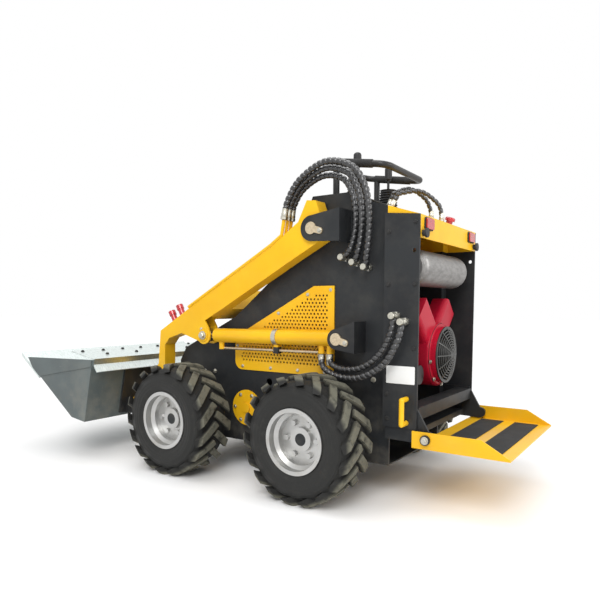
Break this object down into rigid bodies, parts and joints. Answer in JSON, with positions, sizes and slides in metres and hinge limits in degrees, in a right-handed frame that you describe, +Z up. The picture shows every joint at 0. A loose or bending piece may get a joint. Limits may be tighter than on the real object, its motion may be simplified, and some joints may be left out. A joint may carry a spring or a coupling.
{
  "type": "skid steer loader",
  "caption": "Compact stand-on wheeled skid steer loader with lift arms, tilting bucket, open rear engine bay, hand rail controls and a folding operator platform.",
  "frame": {"origin": "on the ground below the middle of the machine's length and width", "axes": "+X forward to the bucket, +Y to the machine's left, +Z up"},
  "size_m": [2.5672, 1.21, 1.428],
  "materials": {
    "yellow_paint": "gloss paint",
    "dark_paint": "satin paint",
    "black_paint": "satin paint",
    "bucket_paint": "worn satin paint",
    "bright_steel": "brushed",
    "engine_cast": "rough casting",
    "engine_red": "gloss paint",
    "lamp_red": "clear gloss",
    "red_plastic": "gloss",
    "black_plastic": "matte",
    "black_rubber": "matte",
    "rim_silver": "satin silver paint",
    "tyre": "matte rubber"
  },
  "bodies": {
    "chassis": {"side_plate_left": "dark_paint", "side_plate_right": "dark_paint", "belly_tub": "dark_paint", "hood": "dark_paint", "side_grille_left": "yellow_paint", "side_grille_right": "yellow_paint", "chain_covers": "yellow_paint", "rear_panel_left": "dark_paint", "rear_panel_right": "dark_paint", "console": "yellow_paint", "tail_lamps": "lamp_red", "bump_stops": "black_rubber", "engine_deck": "dark_paint", "engine_block": "engine_cast", "engine_shroud": "engine_red", "fan_guard": "black_paint", "muffler": "bright_steel", "air_cleaner": "black_plastic", "hand_rail": "black_paint", "joysticks": "black_plastic", "stop_button": "red_plastic", "cross_beam": "dark_paint", "rear_step": "dark_paint", "platform_brackets": "dark_paint", "tie_down_loops": "yellow_paint", "axle_housings": "dark_paint", "pivot_brackets_left": "dark_paint", "pivot_brackets_right": "dark_paint", "pivot_pins": "bright_steel", "hose_ports": "bright_steel", "lift_hoses": "black_rubber", "cylinder_hoses": "black_rubber", "console_hoses": "black_rubber"},
    "lift_arm": {"arm_left": "yellow_paint", "arm_right": "yellow_paint", "arm_cross_box": "yellow_paint", "arm_pipes": "yellow_paint", "couplers": "red_plastic"},
    "lift_cylinder_left": {"lift_barrel_left": "yellow_paint"},
    "lift_cylinder_right": {"lift_barrel_right": "yellow_paint"},
    "lift_piston_left": {"lift_rod_left": "bright_steel"},
    "lift_piston_right": {"lift_rod_right": "bright_steel"},
    "tilt_cylinder": {"tilt_barrel": "yellow_paint"},
    "tilt_piston": {"tilt_rod": "bright_steel"},
    "bucket": {"attach_plate": "black_paint", "bucket_shell": "bucket_paint", "bucket_lip": "bright_steel", "cutting_edge": "bright_steel"},
    "platform": {"platform_tray": "yellow_paint", "platform_pads": "black_rubber"},
    "wheel_front_left": {"rim_front_left": "rim_silver", "tyre_front_left": "tyre"},
    "wheel_front_right": {"rim_front_right": "rim_silver", "tyre_front_right": "tyre"},
    "wheel_rear_left": {"rim_rear_left": "rim_silver", "tyre_rear_left": "tyre"},
    "wheel_rear_right": {"rim_rear_right": "rim_silver", "tyre_rear_right": "tyre"}
  },
  "joints": [
    {"name": "arm_lift", "type": "hinge", "parent": "chassis", "child": "lift_arm", "pos_m": [-0.4735, 0, 1.093], "axis": [0, -1, 0], "range_deg": [0, 80], "deforming": ["lift_hoses"]},
    {"name": "bucket_tilt", "type": "hinge", "parent": "lift_arm", "child": "bucket", "pos_m": [0.6715, 0, 0.24], "axis": [0, 1, 0], "range_deg": [0, 140]},
    {"name": "platform_fold", "type": "hinge", "parent": "chassis", "child": "platform", "pos_m": [-0.9755, 0, 0.283], "axis": [0, 1, 0], "range_deg": [0, 90]},
    {"name": "lift_cylinder_left_pivot", "type": "hinge", "parent": "chassis", "child": "lift_cylinder_left", "pos_m": [-0.5955, 0.316, 0.644], "axis": [0, -1, 0], "range_deg": [0, 57], "deforming": ["cylinder_hoses"]},
    {"name": "lift_piston_left_slide", "type": "slide", "parent": "lift_cylinder_left", "child": "lift_piston_left", "axis": [0.9999, 0, -0.0108], "range_m": [0, 0.49]},
    {"name": "lift_cylinder_right_pivot", "type": "hinge", "parent": "chassis", "child": "lift_cylinder_right", "pos_m": [-0.5955, -0.316, 0.644], "axis": [0, -1, 0], "range_deg": [0, 57]},
    {"name": "lift_piston_right_slide", "type": "slide", "parent": "lift_cylinder_right", "child": "lift_piston_right", "axis": [0.9999, 0, -0.0108], "range_m": [0, 0.49]},
    {"name": "tilt_cylinder_pivot", "type": "hinge", "parent": "lift_arm", "child": "tilt_cylinder", "pos_m": [0.1924, 0, 0.73599], "axis": [0, -1, 0], "range_deg": [0, 5]},
    {"name": "tilt_piston_slide", "type": "slide", "parent": "tilt_cylinder", "child": "tilt_piston", "axis": [0.7451, 0, -0.667], "range_m": [0, 0.27]},
    {"name": "wheel_front_left_spin", "type": "hinge", "parent": "chassis", "child": "wheel_front_left", "pos_m": [0.207, 0.466, 0.254], "axis": [0, 1, 0], "continuous": true},
    {"name": "wheel_front_right_spin", "type": "hinge", "parent": "chassis", "child": "wheel_front_right", "pos_m": [0.207, -0.466, 0.254], "axis": [0, 1, 0], "continuous": true},
    {"name": "wheel_rear_left_spin", "type": "hinge", "parent": "chassis", "child": "wheel_rear_left", "pos_m": [-0.52, 0.466, 0.254], "axis": [0, 1, 0], "continuous": true},
    {"name": "wheel_rear_right_spin", "type": "hinge", "parent": "chassis", "child": "wheel_rear_right", "pos_m": [-0.52, -0.466, 0.254], "axis": [0, 1, 0], "continuous": true}
  ],
  "couplings": [
    {"joint": "lift_cylinder_left_pivot", "follows": "arm_lift", "ratio": 0.7084},
    {"joint": "lift_cylinder_right_pivot", "follows": "arm_lift", "ratio": 0.7084},
    {"joint": "lift_piston_left_slide", "follows": "arm_lift", "m_per_rad": 0.3503},
    {"joint": "lift_piston_right_slide", "follows": "arm_lift", "m_per_rad": 0.3503},
    {"joint": "tilt_cylinder_pivot", "follows": "bucket_tilt", "ratio": 0.035},
    {"joint": "tilt_piston_slide", "follows": "bucket_tilt", "m_per_rad": 0.11}
  ]
}
